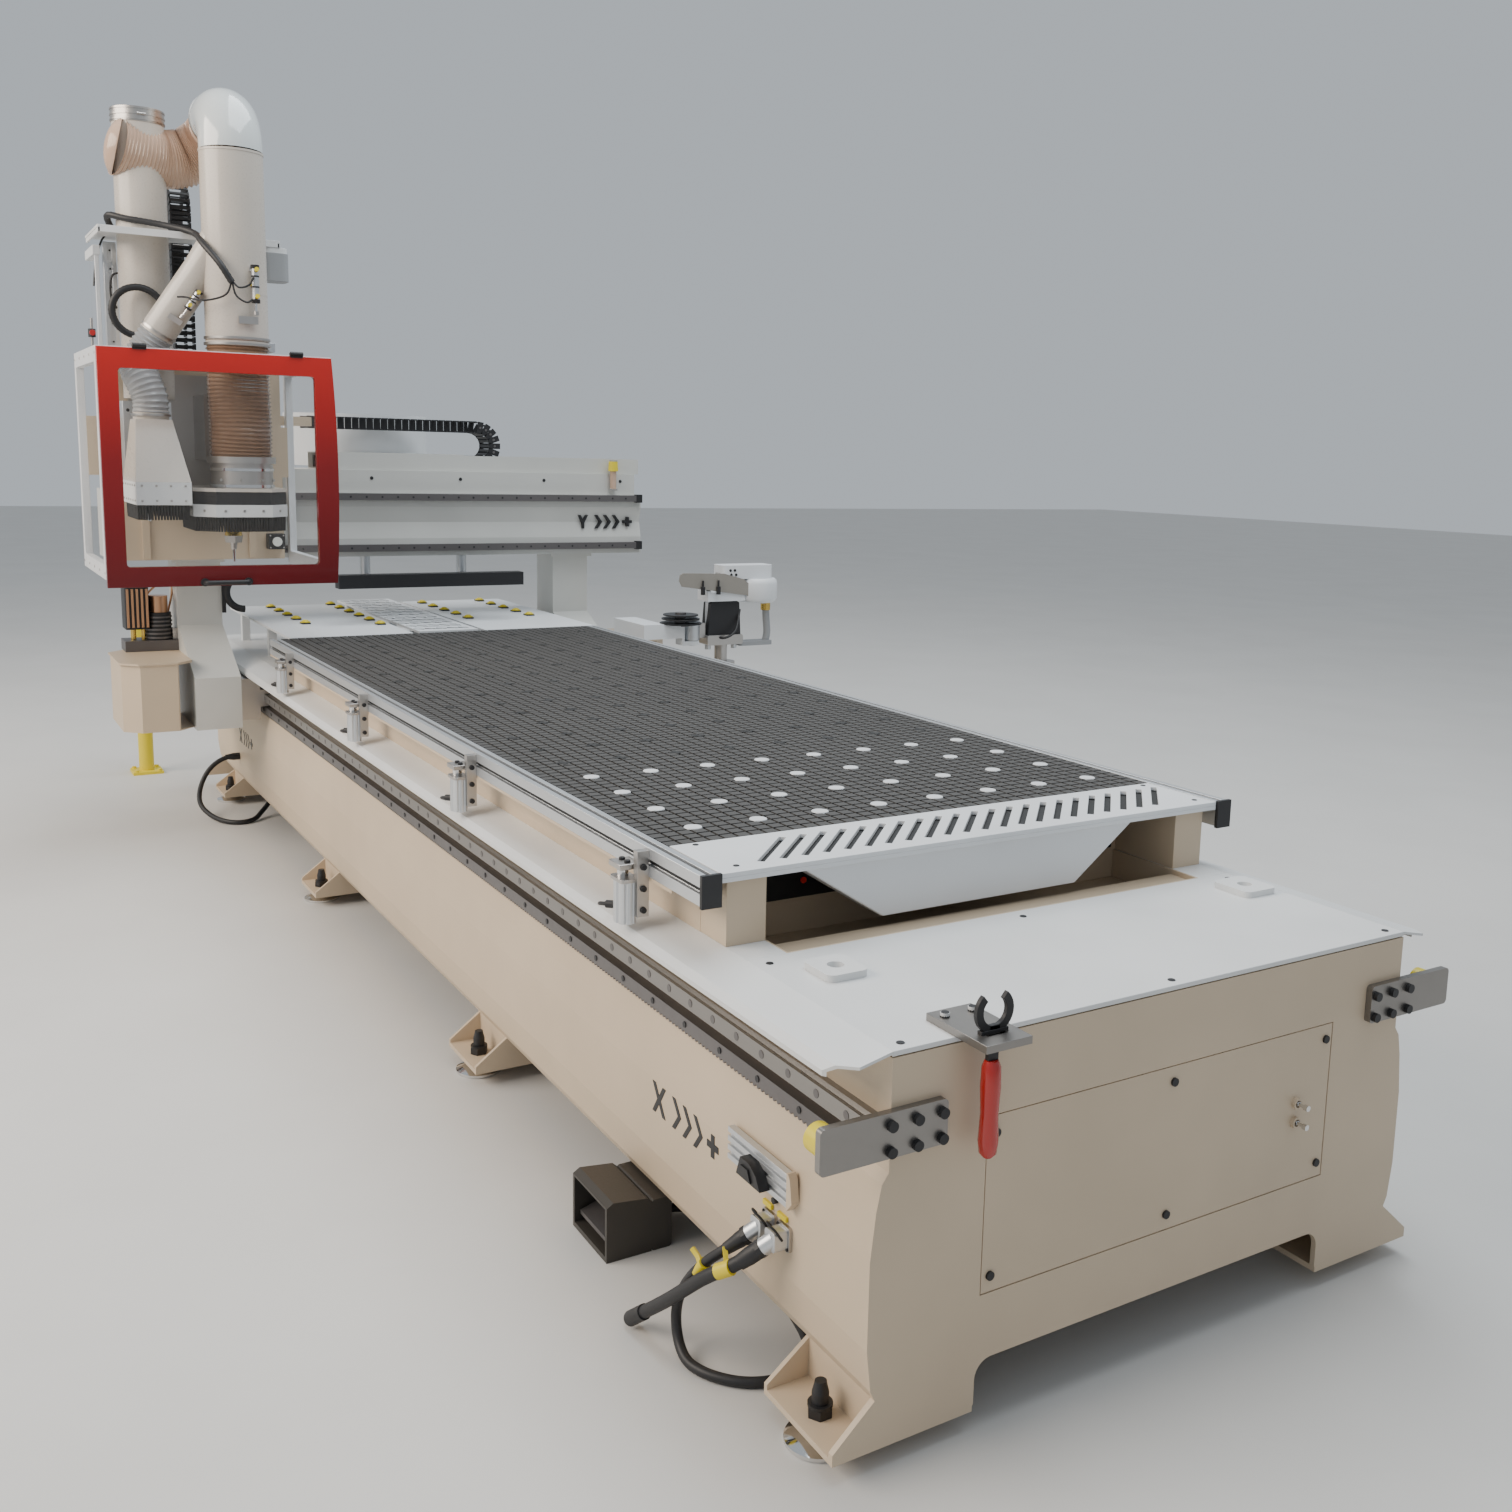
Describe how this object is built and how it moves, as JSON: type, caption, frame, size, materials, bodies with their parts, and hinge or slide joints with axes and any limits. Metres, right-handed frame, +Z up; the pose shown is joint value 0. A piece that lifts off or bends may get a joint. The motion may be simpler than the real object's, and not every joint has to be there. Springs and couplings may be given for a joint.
{
  "type": "cnc router",
  "caption": "Flat-bed nesting router: long bed with grooved table, travelling gantry, enclosed spindle carriage with dust ducts and hoods, end transfer plates, foot pedal and floor cables.",
  "frame": {"origin": "on the floor under the middle of the whole machine", "axes": "+X along the bed towards its open end, +Y across the bed away from the operator side, +Z up"},
  "size_m": [5.37, 2.5419, 2.568],
  "materials": {
    "cream_paint": "satin",
    "white_paint": "satin",
    "red_paint": "gloss",
    "steel": "ground",
    "chrome": "polished",
    "aluminium": "satin",
    "black_metal": "satin",
    "black_plastic": "matte",
    "table_board": "matte",
    "rubber": "matte",
    "yellow_plastic": "gloss",
    "hose_bronze": "translucent",
    "hose_clear": "translucent",
    "red_grip": "gloss"
  },
  "bodies": {
    "bed": {"access_panel": "cream_paint", "ball_units": "yellow_plastic", "bed_ends": "cream_paint", "bed_frame": "cream_paint", "bed_screws": "black_metal", "bed_sides": "cream_paint", "cable_far": "black_plastic", "cable_lead": "black_plastic", "cable_pedal": "black_plastic", "lead_plug": "black_plastic", "deck_fittings": "cream_paint", "deck_plate": "cream_paint", "apron": "white_paint", "levelling_feet": "chrome", "locator_bodies": "aluminium", "pedal_base": "black_metal", "rail_covers": "cream_paint", "sensor_post": "yellow_plastic", "side_fittings": "aluminium", "stop_bumpers": "yellow_plastic", "stop_plates": "steel", "table_rails": "aluminium", "table_support": "cream_paint", "table_top": "table_board", "transfer_plates": "white_paint", "x_racks": "steel", "x_rails": "steel"},
    "gantry": {"gantry_legs": "cream_paint", "x_carriages": "steel", "drive_covers": "cream_paint", "gantry_fittings": "black_metal", "gantry_beam": "cream_paint", "y_rails": "steel", "beam_cover": "cream_paint", "carousel_housing": "white_paint", "pusher_cylinders": "aluminium", "side_arm": "white_paint"},
    "carriage": {"carriage_plate": "cream_paint", "tower": "aluminium", "enclosure_frame": "white_paint", "ducts": "cream_paint", "crossover_hose": "hose_bronze"},
    "chain_bend": {"y_chain_bend": "black_plastic"},
    "z_slide": {"z_plate": "steel"},
    "spindle": {"spindle_tool": "steel"},
    "hood": {"dust_hood": "steel"},
    "boring": {"boring_head": "steel", "boring_hose": "hose_clear"},
    "carousel": {"carousel_disc": "steel"},
    "pusher": {"pusher_bar": "black_metal"},
    "door": {"door": "red_paint"},
    "main_flap": {"main_damper": "steel"},
    "branch_flap": {"branch_damper": "steel"},
    "applicator": {"applicator_housing": "aluminium"},
    "quill": {"applicator_quill": "steel"},
    "locators": {"locator_plates": "steel"},
    "treadle": {"pedal_treadle": "black_metal"},
    "toggle_1": {"toggle_lever_1": "chrome"},
    "toggle_2": {"toggle_lever_2": "chrome"},
    "spanner": {"hook_spanner": "red_grip"}
  },
  "joints": [
    {"name": "x_travel", "type": "slide", "parent": "bed", "child": "gantry", "axis": [1, 0, 0], "range_m": [0, 3.84]},
    {"name": "y_travel", "type": "slide", "parent": "gantry", "child": "carriage", "axis": [0, 1, 0], "range_m": [0, 1.28]},
    {"name": "chain_travel", "type": "slide", "parent": "gantry", "child": "chain_bend", "axis": [0, 1, 0], "range_m": [0, 0.64]},
    {"name": "z_travel", "type": "slide", "parent": "carriage", "child": "z_slide", "axis": [0, 0, 1], "range_m": [-0.245, 0]},
    {"name": "hood_float", "type": "slide", "parent": "z_slide", "child": "hood", "axis": [0, 0, 1], "range_m": [-0.08, 0]},
    {"name": "boring_drop", "type": "slide", "parent": "z_slide", "child": "boring", "axis": [0, 0, 1], "range_m": [-0.06, 0]},
    {"name": "spindle_turn", "type": "hinge", "parent": "z_slide", "child": "spindle", "pos_m": [-1.225, -0.831, 1.1], "axis": [0, 0, 1], "continuous": true},
    {"name": "carousel_turn", "type": "hinge", "parent": "gantry", "child": "carousel", "pos_m": [-2.015, -0.199, 1.4], "axis": [0, 0, 1], "continuous": true},
    {"name": "pusher_drop", "type": "slide", "parent": "gantry", "child": "pusher", "axis": [0, 0, 1], "range_m": [-0.118, 0]},
    {"name": "door_lift", "type": "hinge", "parent": "carriage", "child": "door", "pos_m": [-0.88, -0.917, 1.712], "axis": [0, -1, 0], "range_deg": [0, 85]},
    {"name": "main_damper_turn", "type": "hinge", "parent": "carriage", "child": "main_flap", "pos_m": [-1.06, -0.827, 1.815], "axis": [-1, 0, 0], "range_deg": [0, 80]},
    {"name": "branch_damper_turn", "type": "hinge", "parent": "carriage", "child": "branch_flap", "pos_m": [-1.136, -1.017, 1.832], "axis": [-0.9718, 0.1267, 0.1991], "range_deg": [0, 80]},
    {"name": "applicator_swing", "type": "hinge", "parent": "gantry", "child": "applicator", "pos_m": [-1.07, 0.871, 0.7], "axis": [0, 0, 1], "range_deg": [-60, 60]},
    {"name": "quill_drop", "type": "slide", "parent": "applicator", "child": "quill", "axis": [0, 0, 1], "range_m": [-0.1, 0]},
    {"name": "locator_raise", "type": "slide", "parent": "bed", "child": "locators", "axis": [0, 0, 1], "range_m": [0, 0.05]},
    {"name": "pedal_press", "type": "hinge", "parent": "bed", "child": "treadle", "pos_m": [1.855, -0.755, 0.048], "axis": [1, 0, 0], "range_deg": [0, 8], "stiffness_Nm_per_rad": 6, "springref_deg": -14.32},
    {"name": "toggle_flip_1", "type": "hinge", "parent": "bed", "child": "toggle_1", "pos_m": [2.619, 0.135, 0.367], "axis": [0, 1, 0], "range_deg": [-12, 12]},
    {"name": "toggle_flip_2", "type": "hinge", "parent": "bed", "child": "toggle_2", "pos_m": [2.619, 0.135, 0.333], "axis": [0, 1, 0], "range_deg": [-12, 12]},
    {"name": "spanner_lift", "type": "slide", "parent": "bed", "child": "spanner", "axis": [0, 0, 1], "range_m": [0, 0.3]}
  ],
  "couplings": [
    {"joint": "chain_travel", "follows": "y_travel", "ratio": 0.5}
  ]
}
